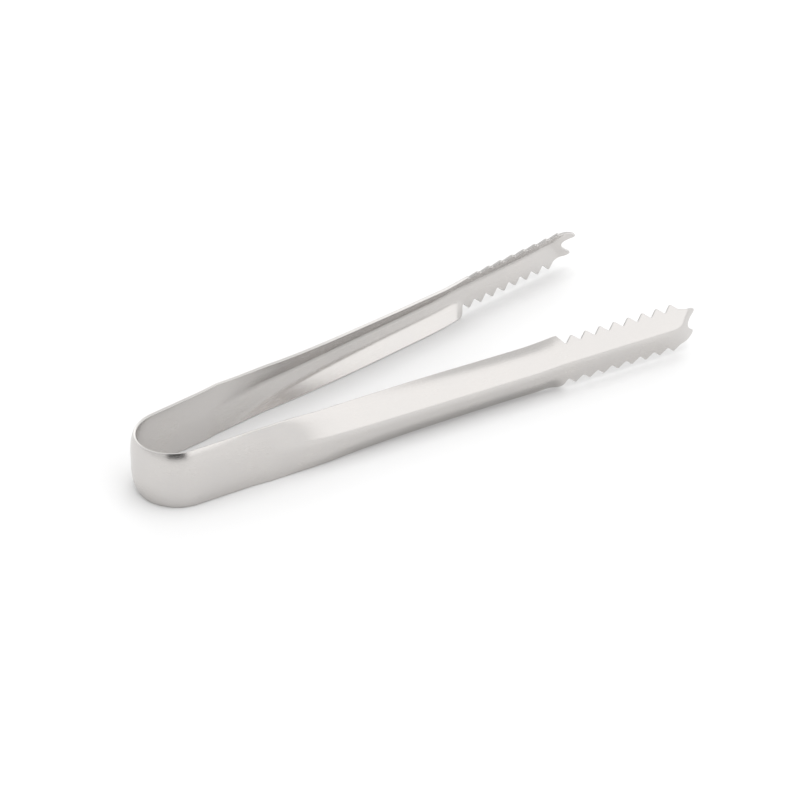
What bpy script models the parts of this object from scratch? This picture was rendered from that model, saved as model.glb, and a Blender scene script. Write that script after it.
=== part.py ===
"""Ice tongs: one strip of stainless sheet bent into a spring bow, two channelled arms and two claws.

Frame: metres, +X from the bow to the claws, +Y to the left arm, +Z up. The origin is under the
middle of the bounding box, and the strip's lower edges stand on z = 0.

The strip is described once, for the left half, as a surface: a spine seen in plan, and a folded
section across it. The right half is its mirror image. A distance u runs along the spine, from
-BOW_ARC at the middle of the bow, through 0 where the bow meets the arm, to CLAW_TIP.
"""
import bpy
import math
from mathutils import Vector

# Sheet and bow
SHEET = 0.0008                  # sheet thickness
HALF_STRIP = 0.00894            # half of the strip's width in the bow and the handle
BOW_RADIUS = 0.0117             # outer radius of the bow
BOW_X = -0.07605                # centre of the bow along X
SPLAY = math.radians(5.13)      # angle between a handle and the X axis
CROWN_RISE = 0.0011             # how far the bow's middle stands out from its edges
CROWN_LIFT = 0.00108            # how far its middle stands out from the bow's radius
CROWN_POWER = 3.4               # how much of the crown's curve lies near the edges
CROWN_FADE = 0.048              # the crown fades out over this much of the handle
JOINT_GAP = 0.0003              # clear gap between neighbouring nodes

# Arm: a flat handle, which turns into a channel with a ridge and two folded flanges
CHANNEL_START = 0.0225          # u where the ridge and the folds begin
RIDGE_RAMP = 0.019              # length over which the ridge gets its angle
UPPER_TILT = math.radians(28.2)     # slope of the strip's face above the ridge
LOWER_TILT = math.radians(22.1)     # slope of the face below it
UPPER_FLANGE = math.radians(22.0)   # turn of the upper flange from the face beside it
LOWER_FLANGE = math.radians(21.0)   # turn of the lower flange
UPPER_EARLY = 0.15              # share of the upper flange's turn that comes at once
LOWER_EARLY = 0.90              # share of the lower flange's turn
FOLD_RUN = 0.013                # length over which a fold moves in from the edge
FOLD_RAMP = 0.010               # length over which a flange gets the early share of its turn
UPPER_FOLD = 0.0065             # distance from the ridge to the upper fold
LOWER_FOLD = 0.0042             # distance from the ridge to the lower fold
RIDGE_ROUND = 0.0014            # half-length of the rounded ridge, along the section
UPPER_ROUND = 0.0017            # half-length of the rounded upper fold
LOWER_ROUND = 0.0010            # half-length of the rounded lower fold
ARM_UPPER = 0.00934             # ridge to upper edge, along the section, in the channel
ARM_LOWER = 0.00972             # ridge to lower edge
WIDTH_RAMP = 0.058              # length over which the strip gets these widths
SWING_START = 0.0153            # u where the spine leaves the handle's line
SWING_END = 0.0418              # u where it has swung onto the jaw's line
UPPER_END = 0.1173              # u where the upper flange is cut off
LOWER_END = 0.1186              # u where the lower flange is cut off
UPPER_FADE = 0.015              # length over which the upper flange flattens at its end
LOWER_FADE = 0.004              # the same for the lower flange
UPPER_CORNER = 0.0004           # corner radius of the upper flange's end
LOWER_CORNER = 0.0027           # corner radius of the lower flange's end

# Jaw: a V section with teeth along both edges
JAW_OFFSET = 0.01331            # y of the jaw's line, extended back to u = 0
JAW_SLOPE = 0.1175              # sideways run of that line for each metre of X
TEETH = 8
TOOTH_PITCH = 0.004963          # along X
FIRST_VALLEY = 0.1194
VALLEY_HALF = 0.0060            # ridge to valley, along the section
TIP_HALF = 0.00833              # ridge to tooth tip, along the section
JAW_RIDGE_Z = 0.00925           # height of the jaw's ridge
LIFT_START = 0.107              # u where the ridge leaves the height the lower edge gives it
ARM_JAW_CUT = 0.1183            # u where the arm's node ends and the jaw's begins

# Lean of the section: its upper edge tips inward
HANDLE_LEAN = math.radians(3.3)
ARM_LEAN = math.radians(7.45)
JAW_LEAN = math.radians(10.7)
ARM_LEAN_END = 0.045            # u where the arm has its full lean
JAW_LEAN_START = 0.100          # u where the jaw's lean begins to come in

# Claw: the end of the jaw, folded flat and inward, and notched into two prongs
CLAW_FOLD = 0.15823             # u where the claw's plane meets the ridge
CLAW_SLOPE = 0.56               # how fast that plane runs inward
CLAW_ROUND = 0.0008             # how much the fold is rounded
CLAW_BLEND = 0.006              # length over which that rounding comes in
CLAW_SKEW = 0.12                # the upper prong reaches further than the lower one
CLAW_TIP = 0.16495
NOTCH_START = 0.16176
NOTCH_HALF = 0.0024             # half width of the notch at the prongs' noses
PRONG_HALF = 0.0047             # ridge to the prong's outer edge, where its nose begins
NOSE_START = CLAW_TIP - 0.0012
NOSE_AT = 0.0035                # ridge to the middle of a prong's nose
NOSE_BLUNT = 0.04               # keeps a little width at the very tip of a nose

BOW_ARC = BOW_RADIUS * (math.pi / 2.0 - SPLAY)
ARM_X = BOW_X - BOW_RADIUS * math.sin(SPLAY)       # where the bow's arc meets the handle
ARM_Y = BOW_RADIUS * math.cos(SPLAY)
LAST_VALLEY = FIRST_VALLEY + TEETH * TOOTH_PITCH

# Where a half section is sampled, as fractions from the ridge to the edge: closest at the ridge
# and at both folds
ROWS = (0.0, 0.05, 0.10, 0.15, 0.24, 0.33, 0.40, 0.47, 0.54, 0.62, 0.70, 0.79, 0.88, 1.0)
SECTION_STEPS = 28              # steps of the sum that follows the section's curve
NORMAL_STEP = 0.00002           # step for the surface's slopes
SHARP_ANGLE = math.radians(35.0)    # edges sharper than this are shaded sharp
NOTCH_STEPS = (0.00012, 0.0005)     # extra stations, just past the notch's floor
PRONG_FIRST = 0.0012            # distance from the notch's floor to the prong's even stations

STEEL_COLOUR = (0.60, 0.59, 0.575, 1.0)
STEEL_ROUGHNESS = 0.24


def ramp(value, start, end):
    """0 before start, 1 after end, and smooth between them."""
    t = min(max((value - start) / (end - start), 0.0), 1.0)
    return t * t * (3.0 - 2.0 * t)


def settle(u, length):
    """0 up to the start of the channel, then rising towards 1 with the given length."""
    return 1.0 - math.exp(-max(u - CHANNEL_START, 0.0) / length)


def spine(u):
    """The ridge in plan: its x and y, and the direction that faces outward."""
    if u < 0.0:
        swept = (u + BOW_ARC) / BOW_RADIUS
        outward = Vector((-math.cos(swept), math.sin(swept)))
        return Vector((BOW_X, 0.0)) + BOW_RADIUS * outward, outward
    point = Vector((ARM_X + u, ridge_y(u)))
    rise = ridge_y(u + NORMAL_STEP) - point.y
    return point, Vector((-rise, NORMAL_STEP)).normalized()


def ridge_y(u):
    """The ridge's y along an arm: on the handle's line first, then on the jaw's."""
    handle_y = ARM_Y + u * math.tan(SPLAY)
    jaw_y = JAW_OFFSET + u * JAW_SLOPE
    return handle_y + ramp(u, SWING_START, SWING_END) * (jaw_y - handle_y)


def fold_place(u, side):
    """Distance from the ridge to a fold, which starts at the edge and soon moves in."""
    last = UPPER_FOLD if side > 0 else LOWER_FOLD
    first = HALF_STRIP + (UPPER_ROUND if side > 0 else LOWER_ROUND)
    return first + (last - first) * settle(u, FOLD_RUN)


def fold_angle(u, side):
    """How far a flange turns in from the face beside it."""
    full = UPPER_FLANGE if side > 0 else LOWER_FLANGE
    early = UPPER_EARLY if side > 0 else LOWER_EARLY
    fade = UPPER_FADE if side > 0 else LOWER_FADE
    growth = min(max((u - CHANNEL_START) / (UPPER_END - CHANNEL_START), 0.0), 1.0)
    share = early * settle(u, FOLD_RAMP) + (1.0 - early) * growth
    return full * share * (1.0 - ramp(u, UPPER_END - fade, FIRST_VALLEY + fade / 2.0))


def section(u, w, side):
    """The section's depth and height at distance w from the ridge, along the sheet.

    The depth is measured inward from the spine: the crown of the bow lifts its middle outward.
    """
    crown = 1.0 - ramp(u, 0.0, CROWN_FADE)
    edge_slope = crown * CROWN_POWER * CROWN_RISE / HALF_STRIP
    tilt = (UPPER_TILT if side > 0 else LOWER_TILT) * settle(u, RIDGE_RAMP)
    fold = fold_angle(u, side)
    fold_at = fold_place(u, side)
    fold_round = UPPER_ROUND if side > 0 else LOWER_ROUND
    depth = 0.0
    height = 0.0
    step = w / SECTION_STEPS
    for index in range(SECTION_STEPS):
        at = (index + 0.5) * step
        bulge = math.copysign((abs(at) / HALF_STRIP) ** (CROWN_POWER - 1.0), at)
        past_ridge = min(at / RIDGE_ROUND, 1.0)
        past_fold = min(max((at - fold_at + fold_round) / (2.0 * fold_round), 0.0), 1.0)
        angle = edge_slope * bulge + tilt * past_ridge + fold * past_fold
        depth += math.sin(angle) * step
        height += math.cos(angle) * step
    plate = CLAW_SLOPE * (u - CLAW_FOLD)
    rounding = CLAW_ROUND * ramp(u, CLAW_FOLD - CLAW_BLEND, CLAW_FOLD)
    depth = (depth + plate + math.hypot(depth - plate, rounding)) / 2.0
    return depth - crown * CROWN_LIFT, height


def arm_half(u, side):
    """Half width of the uncut strip: side is 1 above the ridge and -1 below it."""
    wide = ARM_UPPER if side > 0 else ARM_LOWER
    return HALF_STRIP + (wide - HALF_STRIP) * ramp(u, CHANNEL_START, CHANNEL_START + WIDTH_RAMP)


def line(u, start, end):
    """The straight line through two points (u, w), read at u."""
    return start[1] + (u - start[0]) * (end[1] - start[1]) / (end[0] - start[0])


def flange_corner(side):
    """The corner at a flange's end: its arc's centre, its radius and where the arc ends."""
    radius = UPPER_CORNER if side > 0 else LOWER_CORNER
    wide = ARM_UPPER if side > 0 else ARM_LOWER
    end = UPPER_END if side > 0 else LOWER_END
    centre = (end - radius, wide - radius)
    reach = (FIRST_VALLEY - centre[0], VALLEY_HALF - centre[1])
    turn = math.atan2(reach[0], reach[1]) - math.acos(radius / math.hypot(*reach))
    arc_end = (centre[0] + radius * math.sin(turn), centre[1] + radius * math.cos(turn))
    return centre, radius, arc_end


def outer_half(u, side):
    """Distance from the ridge to the edge, with the flange end, teeth and prong cut to shape."""
    centre, radius, arc_end = flange_corner(side)
    if u <= centre[0]:
        return arm_half(u, side)
    if u <= arc_end[0]:
        return centre[1] + math.sqrt(radius ** 2 - (u - centre[0]) ** 2)
    if u <= FIRST_VALLEY:
        return line(u, arc_end, (FIRST_VALLEY, VALLEY_HALF))
    if u <= LAST_VALLEY:
        phase = math.fmod((u - FIRST_VALLEY) / TOOTH_PITCH, 1.0)
        return VALLEY_HALF + (TIP_HALF - VALLEY_HALF) * (1.0 - abs(2.0 * phase - 1.0))
    if u <= NOSE_START:
        return line(u, (LAST_VALLEY, VALLEY_HALF), (NOSE_START, PRONG_HALF))
    return NOSE_AT + (PRONG_HALF - NOSE_AT) * nose(u)


def inner_half(u):
    """Distance from the ridge to the notch's side, and 0 where there is no notch."""
    if u <= NOTCH_START:
        return 0.0
    if u <= NOSE_START:
        return NOTCH_HALF * math.sqrt((u - NOTCH_START) / (NOSE_START - NOTCH_START))
    return NOSE_AT - (NOSE_AT - NOTCH_HALF) * nose(u)


def nose(u):
    """Outline of a prong's rounded nose: 1 where it begins, and small at the tip."""
    return math.sqrt(max((CLAW_TIP - u) / (CLAW_TIP - NOSE_START), NOSE_BLUNT))


def lean_at(u):
    """How far the section's upper edge tips inward."""
    lean = HANDLE_LEAN * ramp(u, -BOW_ARC, 0.0)
    lean += (ARM_LEAN - HANDLE_LEAN) * ramp(u, SWING_START, ARM_LEAN_END)
    return lean + (JAW_LEAN - ARM_LEAN) * ramp(u, JAW_LEAN_START, FIRST_VALLEY)


def spine_height(u):
    """Height of the ridge that puts the strip's lower edge on z = 0."""
    upto = min(u, LOWER_END - LOWER_CORNER)
    depth, height = section(upto, arm_half(upto, -1), -1)
    lean = lean_at(u)
    arm_z = depth * math.sin(lean) + height * math.cos(lean)
    return arm_z + (JAW_RIDGE_Z - arm_z) * ramp(u, LIFT_START, FIRST_VALLEY)


def outer_point(u, w, side):
    """A point on the outer surface, w away from the ridge on the given side."""
    point, outward = spine(u)
    depth, height = section(u, w, side)
    lean = lean_at(u)
    point.x += side * height * CLAW_SKEW * ramp(u, CLAW_FOLD, CLAW_TIP)
    out = -depth * math.cos(lean) - side * height * math.sin(lean)
    up = -depth * math.sin(lean) + side * height * math.cos(lean)
    return Vector((point.x + out * outward.x, point.y + out * outward.y, spine_height(u) + up))


def outer_normal(u, w, side):
    """The outward normal of the outer surface."""
    along = outer_point(u + NORMAL_STEP, w, side) - outer_point(u - NORMAL_STEP, w, side)
    across = outer_point(u, w + NORMAL_STEP, side) - outer_point(u, w - NORMAL_STEP, side)
    return (side * across.cross(along)).normalized()


def skins(u, w, side):
    """The outer and the inner point of the sheet.

    The lower edge is cut level where the tongs stand on it, and no point lies below z = 0.
    """
    outer = outer_point(u, w, side)
    inner = outer - SHEET * outer_normal(u, w, side)
    at_edge = w > arm_half(u, side) - NORMAL_STEP
    if side < 0 and at_edge and u <= CHANNEL_START:
        inner.z = outer.z
    inner.z = max(inner.z, 0.0)
    return outer, inner


def strip_mesh(name, stations):
    """A closed mesh of the strip over the given stations, each a pair of u and mirror sign.

    Every station holds two half sections. They share the ridge's points, except past the start
    of the notch, where each half is a prong with a wall of its own.
    """
    points = []
    grid = []
    for u, hand in stations:
        split = u > NOTCH_START
        halves = {}
        for side in (1, -1):
            inner_edge = inner_half(u)
            reach = outer_half(u, side) - inner_edge
            row = []
            for place, fraction in enumerate(ROWS):
                if place == 0 and side == -1 and not split:
                    row.append(halves[1][0])
                    continue
                pair = []
                for point in skins(u, inner_edge + fraction * reach, side):
                    pair.append(len(points))
                    points.append((point.x, hand * point.y, point.z))
                row.append(tuple(pair))
            halves[side] = row
        grid.append((halves, split))

    faces = []
    last = len(ROWS) - 1
    for (here, _), (there, split) in zip(grid, grid[1:]):
        for side in (1, -1):
            a, b = here[side], there[side]
            for k in range(last):
                faces.append(turned((a[k][0], b[k][0], b[k + 1][0], a[k + 1][0]), side))
                faces.append(turned((a[k][1], a[k + 1][1], b[k + 1][1], b[k][1]), side))
            faces.append(turned((a[last][0], b[last][0], b[last][1], a[last][1]), side))
            if split:
                faces.append(turned((a[0][0], a[0][1], b[0][1], b[0][0]), side))
    for (halves, _), end in ((grid[0], -1), (grid[-1], 1)):
        for side in (1, -1):
            row = halves[side]
            for k in range(last):
                faces.append(turned((row[k][0], row[k][1], row[k + 1][1], row[k + 1][0]), side * end))

    mesh = bpy.data.meshes.new(name)
    mesh.from_pydata(points, [], faces)
    mesh.update()
    return mesh


def turned(face, sign):
    """The face as given for sign 1, and wound the other way for sign -1."""
    return face if sign > 0 else tuple(reversed(face))


def spread(start, end, count):
    """Evenly spaced values from start to end, both included."""
    return [start + (end - start) * index / count for index in range(count + 1)]


def stainless_steel():
    """The finish of every node: satin stainless steel."""
    material = bpy.data.materials.new("stainless_steel")
    material.use_nodes = True
    shader = material.node_tree.nodes["Principled BSDF"]
    shader.inputs["Base Color"].default_value = STEEL_COLOUR
    shader.inputs["Metallic"].default_value = 1.0
    shader.inputs["Roughness"].default_value = STEEL_ROUGHNESS
    return material


def add_node(name, stations, material, parent=None):
    """One named solid of the strip, hung on the empty that marks its hinge."""
    mesh = strip_mesh(name, stations)
    mesh.materials.append(material)
    node = bpy.data.objects.new(name, mesh)
    bpy.context.collection.objects.link(node)
    make_normals_face_out(mesh)
    mesh.shade_smooth()
    mesh.set_sharp_from_angle(angle=SHARP_ANGLE)
    if parent:
        node.parent = parent
        node.matrix_parent_inverse = parent.matrix_world.inverted()
    return node


def make_normals_face_out(mesh):
    """Wind the faces so that the solid has a positive volume."""
    volume = 0.0
    for polygon in mesh.polygons:
        corners = [mesh.vertices[index].co for index in polygon.vertices]
        for second, third in zip(corners[1:], corners[2:]):
            volume += corners[0].dot(second.cross(third))
    if volume < 0.0:
        mesh.flip_normals()


def hinge_empty(name, hand):
    """An empty on the axis about which one arm flexes: the centroid of its quarter of the bow."""
    offset = BOW_RADIUS * 2.0 / math.pi
    empty = bpy.data.objects.new(name, None)
    empty.location = (BOW_X - offset, hand * offset, HALF_STRIP)
    empty.empty_display_size = 0.01
    bpy.context.collection.objects.link(empty)
    bpy.context.view_layer.update()
    return empty


def bow_stations():
    """Stations from the right arm's end of the bow, round its middle, to the left arm's end."""
    left = spread(-BOW_ARC, -JOINT_GAP / 2.0, 16)
    right = [(u, -1) for u in reversed(left[1:])]
    return right + [(u, 1) for u in left]


def arm_stations():
    """Stations of an arm, closer together where the channel begins and at the flanges' end."""
    handle = spread(JOINT_GAP / 2.0, CHANNEL_START, 9)[:-1]
    channel = spread(CHANNEL_START, SWING_END, 12)[:-1]
    straight = spread(SWING_END, LOWER_END - LOWER_CORNER, 22)
    corner = spread(LOWER_END - LOWER_CORNER, ARM_JAW_CUT - JOINT_GAP / 2.0, 8)[1:]
    return handle + channel + straight + corner


def jaw_stations():
    """Stations at every valley and tooth tip, then round the bend to the prongs' noses."""
    teeth = spread(FIRST_VALLEY, LAST_VALLEY, 2 * TEETH)
    bend = spread(LAST_VALLEY, NOTCH_START, 4)[1:]
    notch = [NOTCH_START + step for step in NOTCH_STEPS]
    prongs = spread(NOTCH_START + PRONG_FIRST, NOSE_START, 3)
    noses = [CLAW_TIP - (CLAW_TIP - NOSE_START) * t * t for t in spread(1.0, 0.0, 5)[1:]]
    return [ARM_JAW_CUT + JOINT_GAP / 2.0] + teeth + bend + notch + prongs + noses


def clear_scene():
    """Start from an empty scene."""
    for item in list(bpy.data.objects):
        bpy.data.objects.remove(item, do_unlink=True)


def build():
    """Make the five nodes and the two hinge empties."""
    clear_scene()
    steel = stainless_steel()
    add_node("spring_bow", bow_stations(), steel)
    for prefix, hand in (("left", 1), ("right", -1)):
        hinge = hinge_empty(prefix + "_flexure", hand)
        add_node(prefix + "_arm", [(u, hand) for u in arm_stations()], steel, hinge)
        add_node(prefix + "_jaw", [(u, hand) for u in jaw_stations()], steel, hinge)


build()
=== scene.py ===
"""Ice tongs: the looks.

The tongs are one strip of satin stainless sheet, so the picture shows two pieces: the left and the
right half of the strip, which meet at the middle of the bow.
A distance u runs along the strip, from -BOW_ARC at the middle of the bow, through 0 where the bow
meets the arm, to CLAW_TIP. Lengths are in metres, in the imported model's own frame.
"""

import math

import bpy
import numpy as np
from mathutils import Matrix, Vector


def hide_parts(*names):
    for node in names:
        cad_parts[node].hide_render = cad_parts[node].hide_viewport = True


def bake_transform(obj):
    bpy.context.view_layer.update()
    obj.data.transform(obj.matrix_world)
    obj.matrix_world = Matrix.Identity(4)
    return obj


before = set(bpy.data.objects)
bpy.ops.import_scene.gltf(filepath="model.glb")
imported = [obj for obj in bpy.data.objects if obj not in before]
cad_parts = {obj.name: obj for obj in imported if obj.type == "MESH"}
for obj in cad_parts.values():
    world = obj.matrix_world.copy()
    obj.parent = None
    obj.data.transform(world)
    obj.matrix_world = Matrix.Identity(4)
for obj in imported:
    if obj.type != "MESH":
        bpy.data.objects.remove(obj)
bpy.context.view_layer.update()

# ---------------------------------------------------------------- the sheet and the bow
SHEET = 0.0008                  # sheet thickness
HALF_STRIP = 0.00894            # half of the strip's width in the bow and the handle
BOW_RADIUS = 0.0117             # outer radius of the bow
BOW_X = -0.07605                # centre of the bow along X
SPLAY = math.radians(5.13)      # angle between a handle and the X axis
CROWN_RISE = 0.0011             # how far the bow's middle stands out from its edges
CROWN_LIFT = 0.00108            # how far its middle stands out from the bow's radius
CROWN_POWER = 3.4               # how much of the crown's curve lies near the edges
CROWN_FADE = 0.048              # the crown fades out over this much of the handle
BOW_ARC = BOW_RADIUS * (math.pi / 2.0 - SPLAY)
ARM_X = BOW_X - BOW_RADIUS * math.sin(SPLAY)       # where the bow's arc meets the handle
ARM_Y = BOW_RADIUS * math.cos(SPLAY)

# ---------------------------------------------------------------- the arm and its folded flanges
CHANNEL_START = 0.0225          # u where the ridge and the folds begin
RIDGE_RAMP = 0.019              # length over which the ridge gets its angle
UPPER_TILT = math.radians(28.2)     # slope of the strip's face above the ridge
LOWER_TILT = math.radians(22.1)     # slope of the face below it
UPPER_FLANGE = math.radians(22.0)   # turn of the upper flange from the face beside it
LOWER_FLANGE = math.radians(21.0)   # turn of the lower flange
UPPER_EARLY = 0.15              # share of the upper flange's turn that comes at once
LOWER_EARLY = 0.90              # share of the lower flange's turn
FOLD_RUN = 0.013                # length over which a fold moves in from the edge
FOLD_RAMP = 0.010               # length over which a flange gets the early share of its turn
UPPER_FOLD = 0.0065             # distance from the ridge to the upper fold
LOWER_FOLD = 0.0042             # distance from the ridge to the lower fold
RIDGE_ROUND = 0.0014            # half-length of the rounded ridge, along the section
UPPER_ROUND = 0.0017            # half-length of the rounded upper fold
LOWER_ROUND = 0.0010            # half-length of the rounded lower fold
ARM_UPPER = 0.00934             # ridge to upper edge, along the section, in the channel
ARM_LOWER = 0.00972             # ridge to lower edge
WIDTH_RAMP = 0.058              # length over which the strip gets these widths
SWING_START = 0.0153            # u where the spine leaves the handle's line
SWING_END = 0.0418              # u where it has swung onto the jaw's line
UPPER_END = 0.1173              # u where the upper flange is cut off
LOWER_END = 0.1186              # u where the lower flange is cut off
UPPER_FADE = 0.015              # length over which the upper flange flattens at its end
LOWER_FADE = 0.004              # the same for the lower flange
UPPER_CORNER = 0.0004           # corner radius of the upper flange's end
LOWER_CORNER = 0.0027           # corner radius of the lower flange's end

# ---------------------------------------------------------------- the jaw
JAW_OFFSET = 0.01331            # y of the jaw's line, extended back to u = 0
JAW_SLOPE = 0.1175              # sideways run of that line for each metre of X
TEETH = 8
TOOTH_PITCH = 0.004963          # along X
FIRST_VALLEY = 0.1194
VALLEY_HALF = 0.0060            # ridge to valley, along the section
TIP_HALF = 0.00833              # ridge to tooth tip, along the section
JAW_RIDGE_Z = 0.00925           # height of the jaw's ridge
LIFT_START = 0.107              # u where the ridge leaves the height the lower edge gives it
TOOTH_ROUND = 0.08              # how much of a tooth's height its rounded tip and valley take
LAST_VALLEY = FIRST_VALLEY + TEETH * TOOTH_PITCH
VALLEY_ENTRY = FIRST_VALLEY - TOOTH_ROUND * TOOTH_PITCH         # where the rounding begins
VALLEY_EXIT = LAST_VALLEY - TOOTH_ROUND * TOOTH_PITCH / 3.0     # part of the way through it

# ---------------------------------------------------------------- the section's inward lean
HANDLE_LEAN = math.radians(3.3)
ARM_LEAN = math.radians(7.45)
JAW_LEAN = math.radians(10.7)
ARM_LEAN_END = 0.045            # u where the arm has its full lean
JAW_LEAN_START = 0.100          # u where the jaw's lean begins to come in

# ---------------------------------------------------------------- the claw and its two prongs
CLAW_FOLD = 0.15823             # u where the claw's plane meets the ridge
CLAW_SLOPE = 0.56               # how fast that plane runs inward
CLAW_ROUND = 0.0008             # how much the fold is rounded
CLAW_BLEND = 0.006              # length over which that rounding comes in
CLAW_SKEW = 0.12                # the upper prong reaches further than the lower one
CLAW_TIP = 0.16495
NOTCH_START = 0.16176
NOTCH_HALF = 0.0024             # half width of the notch at the prongs' noses
PRONG_HALF = 0.0047             # ridge to the prong's outer edge, where its nose begins
NOSE_START = CLAW_TIP - 0.0012
NOSE_AT = 0.0035                # ridge to the middle of a prong's nose

# ---------------------------------------------------------------- mesh density
ROUND_EDGE = 0.00022            # radius of the sheet's deburred edges
EDGE_STEPS = 3                  # facets round each of those edges
NORMAL_STEP = 0.00002           # step for the surface's slopes
BOW_STEP = 0.0003               # spacing of the stations along the bow
ARM_STEP = 0.0008               # along the arm
CORNER_STEP = 0.0001            # round the flanges' corners
TOOTH_STEP = 0.0002             # near the teeth
TOOTH_STATIONS = 28             # stations in one tooth
PRONG_STATIONS = 14             # stations along the notch, and as many round the nose
SECTION_STEPS = 60              # steps of the sum that follows the section's curve
ROWS = 26                       # rows of faces from the ridge to an edge
MERGE_STEP = 0.0000001          # points closer together than this are one point
COUNT_SLACK = 0.000001          # keeps a whole number of steps from being rounded up

# ---------------------------------------------------------------- the steel's looks
STEEL_COOL = (0.610, 0.592, 0.579, 1.0)
STEEL_WARM = (0.628, 0.606, 0.588, 1.0)
STEEL_EDGE = (0.700, 0.685, 0.668, 1.0)
ROUGH_LOW = 0.20
ROUGH_HIGH = 0.27
CLOUD_ROUGH = 0.03              # roughness that clouded patches add
SCUFF_ROUGH = 0.02              # roughness that scuffs add
EDGE_ROUGH = 0.08               # roughness that cut edges add
GRAIN_SCALE = (220.0, 9000.0, 1.0)      # noise cells for each metre along and across the strip
SCUFF_SCALE = (160.0, 2600.0, 1.0)
BURR_SCALE = (9000.0, 2500.0, 1.0)
PEEL_SCALE = 260.0
CLOUD_SCALE = 70.0
GRAIN_BAND = (0.3, 0.7)         # values of the grain that give the lowest and highest roughness
TINT_BAND = (0.3, 0.7)          # values of the clouds that give the cool and the warm colour
CLOUD_BAND = (0.35, 0.7)        # values of the clouds that add no roughness and all of it
SCUFF_BAND = (0.66, 0.72)       # values of the noise where a scuff begins and is complete
RELIEF = 0.0000012              # height that a relief of 1 stands for, in metres
GRAIN_RELIEF = 0.5
PEEL_RELIEF = 1.6
SCUFF_RELIEF = 0.1
BURR_RELIEF = 3.0

# ---------------------------------------------------------------- the studio and the camera
FLOOR_SIZE = 40.0
FLOOR_DROP = 0.00005            # gap between the floor and the strip's lower edges
FLOOR_COLOUR = (0.86, 0.86, 0.86, 1.0)
FLAG_COLOUR = (0.01, 0.01, 0.01, 1.0)
MATT = 0.9                      # roughness of the floor and the flag
WORLD_COLOUR = (1.0, 1.0, 1.0, 1.0)
WORLD_STRENGTH = 0.85
CAMERA_PLACE = (-0.34598, -0.47890, 0.38721)
CAMERA_AZIMUTH = -35.841
CAMERA_ELEVATION = 33.367
CAMERA_LENS = 108.2
CAMERA_SENSOR = 36.0
CLIP_NEAR = 0.01
CLIP_FAR = 100.0


def ramp(value, start, end):
    """0 before start, 1 after end, and smooth between them. Takes numbers or arrays."""
    t = np.clip((value - start) / (end - start), 0.0, 1.0)
    return t * t * (3.0 - 2.0 * t)


def settle(u, length):
    """0 up to the start of the channel, then rising towards 1 with the given length."""
    return 1.0 - np.exp(-np.maximum(u - CHANNEL_START, 0.0) / length)


def ridge_y(u):
    """The ridge's y along an arm: on the handle's line first, then on the jaw's."""
    handle_y = ARM_Y + u * math.tan(SPLAY)
    jaw_y = JAW_OFFSET + u * JAW_SLOPE
    return handle_y + ramp(u, SWING_START, SWING_END) * (jaw_y - handle_y)


def spine(u):
    """The ridge in plan: arrays of x and y, and of the direction that faces outward."""
    swept = (u + BOW_ARC) / BOW_RADIUS
    in_bow = u < 0.0
    rise = (ridge_y(u + NORMAL_STEP) - ridge_y(u)) / NORMAL_STEP
    length = np.hypot(rise, 1.0)
    out_x = np.where(in_bow, -np.cos(swept), -rise / length)
    out_y = np.where(in_bow, np.sin(swept), 1.0 / length)
    x = np.where(in_bow, BOW_X + BOW_RADIUS * out_x, ARM_X + u)
    y = np.where(in_bow, BOW_RADIUS * out_y, ridge_y(u))
    return x, y, out_x, out_y


def fold_place(u, side):
    """Distance from the ridge to a fold, which starts at the edge and soon moves in."""
    last = UPPER_FOLD if side > 0 else LOWER_FOLD
    first = HALF_STRIP + (UPPER_ROUND if side > 0 else LOWER_ROUND)
    return first + (last - first) * settle(u, FOLD_RUN)


def fold_angle(u, side):
    """How far a flange turns in from the face beside it."""
    full = UPPER_FLANGE if side > 0 else LOWER_FLANGE
    early = UPPER_EARLY if side > 0 else LOWER_EARLY
    fade = UPPER_FADE if side > 0 else LOWER_FADE
    growth = np.clip((u - CHANNEL_START) / (UPPER_END - CHANNEL_START), 0.0, 1.0)
    share = early * settle(u, FOLD_RAMP) + (1.0 - early) * growth
    return full * share * (1.0 - ramp(u, UPPER_END - fade, FIRST_VALLEY + fade / 2.0))


def section(u, w, side):
    """Depth and height of the section at distance w from the ridge, along the sheet."""
    crown = 1.0 - ramp(u, 0.0, CROWN_FADE)
    edge_slope = crown * CROWN_POWER * CROWN_RISE / HALF_STRIP
    tilt = (UPPER_TILT if side > 0 else LOWER_TILT) * settle(u, RIDGE_RAMP)
    fold = fold_angle(u, side)
    fold_at = fold_place(u, side)
    fold_round = UPPER_ROUND if side > 0 else LOWER_ROUND
    depth = np.zeros_like(u)
    height = np.zeros_like(u)
    step = w / SECTION_STEPS
    for index in range(SECTION_STEPS):
        at = (index + 0.5) * step
        bulge = edge_slope * np.sign(at) * (np.abs(at) / HALF_STRIP) ** (CROWN_POWER - 1.0)
        past_ridge = np.minimum(at / RIDGE_ROUND, 1.0)
        past_fold = np.clip((at - fold_at + fold_round) / (2.0 * fold_round), 0.0, 1.0)
        angle = bulge + tilt * past_ridge + fold * past_fold
        depth = depth + np.sin(angle) * step
        height = height + np.cos(angle) * step
    plate = CLAW_SLOPE * (u - CLAW_FOLD)
    rounding = CLAW_ROUND * ramp(u, CLAW_FOLD - CLAW_BLEND, CLAW_FOLD)
    depth = (depth + plate + np.hypot(depth - plate, rounding)) / 2.0
    return depth - crown * CROWN_LIFT, height


def arm_half(u, side):
    """Half width of the uncut strip: side is 1 above the ridge and -1 below it."""
    wide = ARM_UPPER if side > 0 else ARM_LOWER
    return HALF_STRIP + (wide - HALF_STRIP) * ramp(u, CHANNEL_START, CHANNEL_START + WIDTH_RAMP)


def nose(u):
    """Outline of a prong's rounded nose: 1 where it begins, and 0 at the tip."""
    return np.sqrt(np.clip((CLAW_TIP - u) / (CLAW_TIP - NOSE_START), 0.0, 1.0))


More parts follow.
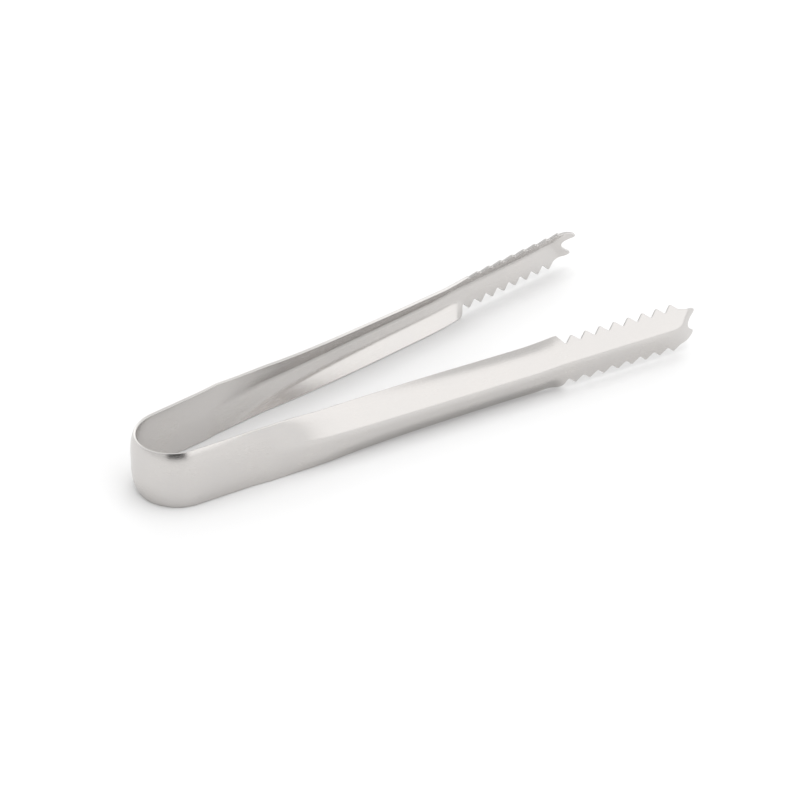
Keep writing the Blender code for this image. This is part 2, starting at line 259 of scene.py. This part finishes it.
def tooth(u):
    """A tooth's outline: 0 in the valleys and 1 at the tips, both a little rounded."""
    phase = np.mod((u - FIRST_VALLEY) / TOOTH_PITCH, 1.0)
    saw = 1.0 - np.abs(2.0 * phase - 1.0)
    low = saw ** 2 / (4.0 * TOOTH_ROUND) + TOOTH_ROUND
    high = 1.0 - (1.0 - saw) ** 2 / (4.0 * TOOTH_ROUND) - TOOTH_ROUND
    flank = np.where(saw < 2.0 * TOOTH_ROUND, low, saw)
    return np.where(saw > 1.0 - 2.0 * TOOTH_ROUND, high, flank)


def tooth_half(u):
    """Distance from the ridge to the toothed edge."""
    return VALLEY_HALF + (TIP_HALF - VALLEY_HALF) * tooth(u)


def line(u, start, end):
    """The straight line through two points (u, w), read at u."""
    return start[1] + (u - start[0]) * (end[1] - start[1]) / (end[0] - start[0])


def flange_corner(side):
    """The corner at a flange's end: its arc's centre, its radius and where the arc ends."""
    radius = UPPER_CORNER if side > 0 else LOWER_CORNER
    wide = ARM_UPPER if side > 0 else ARM_LOWER
    end = UPPER_END if side > 0 else LOWER_END
    centre = (end - radius, wide - radius)
    reach = (VALLEY_ENTRY - centre[0], float(tooth_half(VALLEY_ENTRY)) - centre[1])
    turn = math.atan2(reach[0], reach[1]) - math.acos(radius / math.hypot(*reach))
    arc_end = (centre[0] + radius * math.sin(turn), centre[1] + radius * math.cos(turn))
    return centre, radius, arc_end


def outer_half(u, side):
    """Distance from the ridge to the edge, with flange end, teeth and prong cut to shape."""
    centre, radius, arc_end = flange_corner(side)
    rounded = centre[1] + np.sqrt(np.maximum(radius ** 2 - (u - centre[0]) ** 2, 0.0))
    slope = line(u, arc_end, (VALLEY_ENTRY, float(tooth_half(VALLEY_ENTRY))))
    prong = line(u, (VALLEY_EXIT, float(tooth_half(VALLEY_EXIT))), (NOSE_START, PRONG_HALF))
    tip = NOSE_AT + (PRONG_HALF - NOSE_AT) * nose(u)
    zones = [u <= centre[0], u <= arc_end[0], u <= VALLEY_ENTRY, u <= VALLEY_EXIT, u <= NOSE_START]
    return np.select(zones, [arm_half(u, side), rounded, slope, tooth_half(u), prong], tip)


def inner_half(u):
    """Distance from the ridge to the notch's side, and 0 where there is no notch."""
    t = np.clip((u - NOTCH_START) / (NOSE_START - NOTCH_START), 0.0, 1.0)
    tip = NOSE_AT - (NOSE_AT - NOTCH_HALF) * nose(u)
    return np.where(u > NOSE_START, tip, NOTCH_HALF * np.sqrt(t))


def lean_at(u):
    """How far the section's upper edge tips inward."""
    lean = HANDLE_LEAN * ramp(u, -BOW_ARC, 0.0)
    lean = lean + (ARM_LEAN - HANDLE_LEAN) * ramp(u, SWING_START, ARM_LEAN_END)
    return lean + (JAW_LEAN - ARM_LEAN) * ramp(u, JAW_LEAN_START, FIRST_VALLEY)


def spine_height(u):
    """Height of the ridge that puts the strip's lower edge on z = 0."""
    upto = np.minimum(u, LOWER_END - LOWER_CORNER)
    depth, height = section(upto, arm_half(upto, -1), -1)
    lean = lean_at(u)
    arm_z = depth * np.sin(lean) + height * np.cos(lean)
    return arm_z + (JAW_RIDGE_Z - arm_z) * ramp(u, LIFT_START, FIRST_VALLEY)


def outer_point(u, w, side):
    """Points on the outer surface, w away from the ridge on the given side."""
    x, y, out_x, out_y = spine(u)
    depth, height = section(u, w, side)
    lean = lean_at(u)
    out = -depth * np.cos(lean) - side * height * np.sin(lean)
    up = -depth * np.sin(lean) + side * height * np.cos(lean)
    skew = side * height * CLAW_SKEW * ramp(u, CLAW_FOLD, CLAW_TIP)
    return np.stack([x + out * out_x + skew, y + out * out_y, spine_height(u) + up], axis=-1)


# ---------------------------------------------------------------- the mesh of half a strip
def surface(u, w, side):
    """Outer points, with the outward normals and the unit directions along u and w there."""
    step = NORMAL_STEP
    along = outer_point(u + step, w, side) - outer_point(u - step, w, side)
    across = outer_point(u, w + step, side) - outer_point(u, w - step, side)
    along = along / np.linalg.norm(along, axis=-1, keepdims=True)
    across = across / np.linalg.norm(across, axis=-1, keepdims=True)
    normal = side * np.cross(across, along)
    normal = normal / np.linalg.norm(normal, axis=-1, keepdims=True)
    return outer_point(u, w, side), normal, along, across


def spread(start, end, spacing):
    """Evenly spaced values from start up to, and without, end."""
    count = max(int(math.ceil((end - start) / spacing - COUNT_SLACK)), 1)
    return start + (end - start) * np.arange(count) / count


def body_stations():
    """Values of u from the bow's middle to just before the notch."""
    return np.concatenate([
        spread(-BOW_ARC, 0.0, BOW_STEP),
        spread(0.0, LOWER_END - LOWER_CORNER, ARM_STEP),
        spread(LOWER_END - LOWER_CORNER, VALLEY_ENTRY, CORNER_STEP),
        spread(VALLEY_ENTRY, FIRST_VALLEY, TOOTH_STEP),
        spread(FIRST_VALLEY, LAST_VALLEY, TOOTH_PITCH / TOOTH_STATIONS),
        spread(LAST_VALLEY, NOTCH_START - ROUND_EDGE, TOOTH_STEP),
    ])


def prong_stations():
    """Values of u from the notch's floor to the prongs' tips, closest where the outline turns."""
    t = np.linspace(0.0, 1.0, PRONG_STATIONS + 1)
    notch = NOTCH_START + (NOSE_START - NOTCH_START) * t[:-1] ** 2
    return np.concatenate([notch, CLAW_TIP - (CLAW_TIP - NOSE_START) * (1.0 - t) ** 2])


def outward_of(outline, turn, at_start, at_end):
    """Unit directions in (u, w) that face away from the sheet, along an outline's points."""
    chords = np.diff(outline, axis=0)
    chords = chords / np.linalg.norm(chords, axis=1, keepdims=True)
    tangent = np.vstack([chords[:1], chords[:-1] + chords[1:], chords[-1:]])
    tangent = tangent / np.linalg.norm(tangent, axis=1, keepdims=True)
    outward = turn * np.stack([-tangent[:, 1], tangent[:, 0]], axis=1)
    outward[0] = at_start
    outward[-1] = at_end
    return outward


def edge_profile():
    """The rounded sheet edge, from the outer skin to the inner: reach, depth and angle."""
    turns = np.linspace(0.0, math.pi / 2.0, EDGE_STEPS + 1)
    reach = ROUND_EDGE * np.sin(turns)
    depth = ROUND_EDGE * (1.0 - np.cos(turns))
    profile = [(r, d, a) for r, d, a in zip(reach, depth, turns)]
    return profile + [(r, SHEET - d, math.pi - a) for r, d, a in reversed(profile)]


class Half:
    """Gathers the points, normals, strip coordinates and faces of one half of the strip."""

    def __init__(self):
        self.points = []
        self.normals = []
        self.places = []
        self.edge = []
        self.faces = []
        self.count = 0

    def grid(self, points, normals, places, flip, edge):
        """Adds a sheet of quads over a grid of points. Edge is 1 on the sheet's cut edges."""
        rows, columns = points.shape[:2]
        index = self.count + np.arange(rows * columns).reshape(rows, columns)
        quads = np.stack([index[:-1, :-1], index[1:, :-1], index[1:, 1:], index[:-1, 1:]], axis=-1)
        quads = quads.reshape(-1, 4)
        self.faces.extend(quads[:, ::-1].tolist() if flip else quads.tolist())
        self.points.append(points.reshape(-1, 3))
        self.normals.append(normals.reshape(-1, 3))
        self.places.append(places.reshape(-1, 2))
        self.edge.append(np.full(rows * columns, float(edge)))
        self.count += rows * columns

    def polygon(self, points, places):
        """Adds one flat face in the plane y = 0, which faces -Y."""
        self.faces.append(list(range(self.count, self.count + len(points))))
        self.points.append(points)
        self.normals.append(np.tile((0.0, -1.0, 0.0), (len(points), 1)))
        self.places.append(places)
        self.edge.append(np.zeros(len(points)))
        self.count += len(points)


def add_side(half, side):
    """Adds the half strip's skins and edges, above the ridge for side 1 and below it for -1."""
    body = body_stations()
    prong = prong_stations()
    u = np.concatenate([body, prong])
    outline = np.stack([u, outer_half(u, side)], axis=1)
    outward = outward_of(outline, 1.0, (0.0, 1.0), (1.0, 0.0))
    notch = np.stack([prong, inner_half(prong)], axis=1)
    inward = outward_of(notch, -1.0, (1.0, 0.0), (1.0, 0.0))
    rim = outline - ROUND_EDGE * outward
    notch_rim = notch - ROUND_EDGE * inward
    ridge = np.stack([body, np.zeros_like(body)], axis=1)
    start = np.vstack([ridge, notch_rim])
    share = np.linspace(0.0, 1.0, ROWS + 1)[None, :, None]
    places = start[:, None, :] + share * (rim - start)[:, None, :]
    points, normals, along, across = surface(places[..., 0], places[..., 1], side)
    strip_places = places * (1.0, side)
    half.grid(points, normals, strip_places, side > 0, 0.0)
    half.grid(points - SHEET * normals, -normals, strip_places, side < 0, 0.0)
    add_edge(half, points[:, -1], normals[:, -1], along[:, -1], across[:, -1],
             outward, strip_places[:, -1], side, side > 0)
    first = len(body)
    add_edge(half, points[first:, 0], normals[first:, 0], along[first:, 0], across[first:, 0],
             inward, strip_places[first:, 0], side, side < 0)
    add_seam(half, points[0], normals[0], strip_places[0], side)


def add_edge(half, rim, normal, along, across, outward, places, side, flip):
    """Adds the rounded edge that joins the outer skin's rim to the inner skin's."""
    away = outward[:, :1] * along + outward[:, 1:] * across
    away = away - normal * np.sum(away * normal, axis=1, keepdims=True)
    away = away / np.linalg.norm(away, axis=1, keepdims=True)
    points = []
    normals = []
    uv = []
    for reach, depth, angle in edge_profile():
        points.append(rim + reach * away - depth * normal)
        normals.append(math.cos(angle) * normal + math.sin(angle) * away)
        uv.append(places + (reach + depth) * outward * (1.0, side))
    half.grid(np.stack(points, 1), np.stack(normals, 1), np.stack(uv, 1), flip, 1.0)


def add_seam(half, outer, normal, places, side):
    """Closes the half strip at the bow's middle, where the other half meets it."""
    inner = outer - SHEET * normal
    away = np.array((0.0, 0.0, float(side)))
    away = away - normal[-1] * (away @ normal[-1])
    away = away / np.linalg.norm(away)
    rim = [outer[-1] + r * away - d * normal[-1] for r, d, _ in edge_profile()[1:-1]]
    loop = np.vstack([outer, rim, inner[::-1]])
    loop_places = np.vstack([places, np.tile(places[-1], (len(rim), 1)), places[::-1]])
    loop[:, 1] = 0.0
    if side < 0:
        loop = loop[::-1]
        loop_places = loop_places[::-1]
    half.polygon(loop, loop_places)


def half_strip():
    """The left half of the strip: points, normals, strip coordinates, edge marks and faces."""
    half = Half()
    for side in (1, -1):
        add_side(half, side)
    return (np.concatenate(half.points), np.concatenate(half.normals),
            np.concatenate(half.places), np.concatenate(half.edge), half.faces)


def merged(points, faces):
    """The distinct points, each old point's new number, and the faces that keep an area."""
    points[np.abs(points[:, 1]) < MERGE_STEP, 1] = 0.0
    keys = np.round(points / MERGE_STEP).astype(np.int64)
    _, first, number = np.unique(keys, axis=0, return_index=True, return_inverse=True)
    number = number.reshape(-1)
    kept = []
    corners = []
    for face in faces:
        loop = [c for i, c in enumerate(face) if number[c] != number[face[i - 1]]]
        if len(loop) > 2:
            kept.append([int(number[c]) for c in loop])
            corners.extend(loop)
    return points[first], kept, np.array(corners)


def strip_object(name, mirror, material):
    """One half of the strip as an object. Mirror is 1 for the left half and -1 for the right.

    The edges at the bow's middle are sharp, so that the seam's face doesn't shade the skins.
    """
    points, normals, places, edge, faces = half_strip()
    flip = np.array((1.0, float(mirror), 1.0))
    if mirror < 0:
        faces = [face[::-1] for face in faces]
    vertices, kept, corners = merged(points * flip, faces)
    mesh = bpy.data.meshes.new(name)
    mesh.from_pydata(vertices.tolist(), [], kept)
    mesh.update()
    along = mirror * (places[corners, 0] + BOW_ARC)
    strip_map = mesh.uv_layers.new(name="strip")
    strip_map.data.foreach_set("uv", np.stack([along, places[corners, 1]], 1).ravel())
    cut = mesh.attributes.new("cut_edge", "FLOAT", "CORNER")
    cut.data.foreach_set("value", edge[corners])
    mesh.polygons.foreach_set("use_smooth", np.ones(len(kept), bool))
    for border in mesh.edges:
        border.use_edge_sharp = all(vertices[v][1] == 0.0 for v in border.vertices)
    mesh.normals_split_custom_set((normals[corners] * flip).tolist())
    mesh.materials.append(material)
    piece = bpy.data.objects.new(name, mesh)
    bpy.context.scene.collection.objects.link(piece)
    return piece


# ---------------------------------------------------------------- the steel
class Graph:
    """A material's nodes, with short calls for the ones used here."""

    def __init__(self, material):
        material.use_nodes = True
        self.tree = material.node_tree
        self.shader = self.tree.nodes["Principled BSDF"]

    def node(self, kind, **values):
        """A new node, with the given properties."""
        made = self.tree.nodes.new(kind)
        for name, value in values.items():
            setattr(made, name, value)
        return made

    def link(self, source, target):
        """Links an output to an input."""
        self.tree.links.new(source, target)

    def value(self, source, target):
        """Links a socket, or sets a number."""
        if isinstance(source, (int, float, tuple)):
            target.default_value = source
        else:
            self.link(source, target)

    def math(self, operation, *terms):
        """The result of one sum on sockets or numbers."""
        made = self.node("ShaderNodeMath", operation=operation)
        for term, socket in zip(terms, made.inputs):
            self.value(term, socket)
        return made.outputs[0]

    def noise(self, coordinates, scale, detail, roughness=0.5):
        """Smooth noise between 0 and 1."""
        made = self.node("ShaderNodeTexNoise")
        self.link(coordinates, made.inputs["Vector"])
        made.inputs["Scale"].default_value = scale
        made.inputs["Detail"].default_value = detail
        made.inputs["Roughness"].default_value = roughness
        return made.outputs["Fac"]

    def stretched(self, coordinates, scale):
        """The coordinates multiplied by scale = (along, across, 1)."""
        made = self.node("ShaderNodeVectorMath", operation="MULTIPLY")
        self.link(coordinates, made.inputs[0])
        made.inputs[1].default_value = scale
        return made.outputs[0]

    def ranged(self, source, band, low, high):
        """Source mapped from the band to low..high, and kept inside them."""
        made = self.node("ShaderNodeMapRange")
        self.link(source, made.inputs["Value"])
        made.inputs["From Min"].default_value = band[0]
        made.inputs["From Max"].default_value = band[1]
        made.inputs["To Min"].default_value = low
        made.inputs["To Max"].default_value = high
        return made.outputs["Result"]

    def mixed(self, factor, first, second):
        """A colour between first and second."""
        made = self.node("ShaderNodeMix", data_type="RGBA")
        self.value(factor, made.inputs["Factor"])
        self.value(first, made.inputs["A"])
        self.value(second, made.inputs["B"])
        return made.outputs["Result"]


def stainless_steel():
    """Satin stainless sheet: fine grain along the strip, faint scuffs, and sheared edges."""
    material = bpy.data.materials.new("stainless_steel")
    graph = Graph(material)
    strip = graph.node("ShaderNodeUVMap", uv_map="strip").outputs["UV"]
    edge = graph.node("ShaderNodeAttribute", attribute_name="cut_edge").outputs["Fac"]

    grain = graph.noise(graph.stretched(strip, GRAIN_SCALE), 1.0, 3.0, 0.6)
    peel = graph.noise(strip, PEEL_SCALE, 2.0)
    clouds = graph.noise(strip, CLOUD_SCALE, 3.0)
    handling = graph.noise(graph.stretched(strip, SCUFF_SCALE), 1.0, 2.0, 0.4)
    scuffs = graph.ranged(handling, SCUFF_BAND, 0.0, 1.0)
    burr = graph.noise(graph.stretched(strip, BURR_SCALE), 1.0, 2.0, 0.6)

    tint = graph.mixed(graph.ranged(clouds, TINT_BAND, 0.0, 1.0), STEEL_COOL, STEEL_WARM)
    graph.link(graph.mixed(edge, tint, STEEL_EDGE), graph.shader.inputs["Base Color"])

    rough = graph.ranged(grain, GRAIN_BAND, ROUGH_LOW, ROUGH_HIGH)
    rough = graph.math("ADD", rough, graph.ranged(clouds, CLOUD_BAND, 0.0, CLOUD_ROUGH))
    rough = graph.math("ADD", rough, graph.math("MULTIPLY", scuffs, SCUFF_ROUGH))
    rough = graph.math("ADD", rough, graph.math("MULTIPLY", edge, EDGE_ROUGH))
    graph.link(rough, graph.shader.inputs["Roughness"])

    relief = graph.math("MULTIPLY", grain, GRAIN_RELIEF)
    relief = graph.math("ADD", relief, graph.math("MULTIPLY", peel, PEEL_RELIEF))
    relief = graph.math("SUBTRACT", relief, graph.math("MULTIPLY", scuffs, SCUFF_RELIEF))
    sheared = graph.math("MULTIPLY", graph.math("MULTIPLY", edge, burr), BURR_RELIEF)
    bump = graph.node("ShaderNodeBump")
    bump.inputs["Strength"].default_value = 1.0
    bump.inputs["Distance"].default_value = RELIEF
    graph.link(graph.math("ADD", relief, sheared), bump.inputs["Height"])
    graph.link(bump.outputs["Normal"], graph.shader.inputs["Normal"])

    graph.shader.inputs["Metallic"].default_value = 1.0
    return material


# ---------------------------------------------------------------- the object
steel = stainless_steel()
for name, arm, mirror in (("left_half", "left_arm", 1), ("right_half", "right_arm", -1)):
    half = strip_object(name, mirror, steel)
    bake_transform(half)
    jaw = arm.replace("arm", "jaw")
    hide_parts("spring_bow", arm, jaw)


# ---------------------------------------------------------------- the studio
def matt_material(name, colour):
    """A plain matt material."""
    material = bpy.data.materials.new(name)
    shader = Graph(material).shader
    shader.inputs["Base Color"].default_value = colour
    shader.inputs["Roughness"].default_value = MATT
    return material


def add_floor():
    """A wide white floor, just under the strip's lower edges."""
    far = FLOOR_SIZE / 2.0
    corners = [(x, y, -FLOOR_DROP) for x, y in ((-far, -far), (far, -far), (far, far), (-far, far))]
    mesh = bpy.data.meshes.new("floor")
    mesh.from_pydata(corners, [], [(0, 1, 2, 3)])
    mesh.materials.append(matt_material("floor_white", FLOOR_COLOUR))
    floor = bpy.data.objects.new("floor", mesh)
    bpy.context.scene.collection.objects.link(floor)


def add_softbox(name, azimuth, elevation, distance, size, power, seen):
    """An area light, aimed at the tongs. Azimuth 0 is the -Y side, and 90 the +X side.

    Seen is False for a light that the steel doesn't mirror.
    """
    light = bpy.data.lights.new(name, "AREA")
    light.shape = "RECTANGLE"
    light.size = size[0]
    light.size_y = size[1]
    light.energy = power
    turn = math.radians(azimuth)
    tilt = math.radians(elevation)
    away = Vector((math.sin(turn) * math.cos(tilt), -math.cos(turn) * math.cos(tilt), math.sin(tilt)))
    lamp = bpy.data.objects.new(name, light)
    lamp.visible_glossy = seen
    lamp.location = away * distance
    lamp.rotation_euler = away.to_track_quat("Z", "Y").to_euler()
    bpy.context.scene.collection.objects.link(lamp)


def add_flag(azimuth, distance, width, height):
    """A dark card that stands upright and faces the tongs, for the steel to mirror."""
    turn = math.radians(azimuth)
    centre = Vector((math.sin(turn), -math.cos(turn), 0.0)) * distance
    across = Vector((math.cos(turn), math.sin(turn), 0.0)) * width / 2.0
    top = Vector((0.0, 0.0, height))
    mesh = bpy.data.meshes.new("dark_flag")
    corners = [centre - across, centre + across, centre + across + top, centre - across + top]
    mesh.from_pydata(corners, [], [(0, 1, 2, 3)])
    mesh.materials.append(matt_material("flag_black", FLAG_COLOUR))
    flag = bpy.data.objects.new("dark_flag", mesh)
    bpy.context.scene.collection.objects.link(flag)


def add_world():
    """An even white surrounding."""
    world = bpy.data.worlds.new("studio")
    world.use_nodes = True
    background = world.node_tree.nodes["Background"]
    background.inputs["Color"].default_value = WORLD_COLOUR
    background.inputs["Strength"].default_value = WORLD_STRENGTH
    bpy.context.scene.world = world


def add_camera():
    """The camera, above and behind the right arm."""
    data = bpy.data.cameras.new("camera")
    data.lens = CAMERA_LENS
    data.sensor_width = CAMERA_SENSOR
    data.clip_start = CLIP_NEAR
    data.clip_end = CLIP_FAR
    camera = bpy.data.objects.new("camera", data)
    camera.location = CAMERA_PLACE
    tilt = math.radians(90.0 - CAMERA_ELEVATION)
    camera.rotation_euler = (tilt, 0.0, math.radians(CAMERA_AZIMUTH))
    bpy.context.scene.collection.objects.link(camera)
    bpy.context.scene.camera = camera


bpy.context.scene.view_settings.view_transform = "Standard"
add_floor()
add_world()
add_softbox("overhead", azimuth=0.0, elevation=88.0, distance=1.6,
            size=(1.6, 1.6), power=11.5, seen=False)
add_softbox("front_right", azimuth=32.0, elevation=25.0, distance=1.5,
            size=(2.1, 1.2), power=4.6, seen=True)
add_softbox("rear", azimuth=144.0, elevation=33.0, distance=1.6,
            size=(1.4, 0.9), power=3.6, seen=True)
add_flag(azimuth=-30.0, distance=1.5, width=1.20, height=1.15)
add_camera()
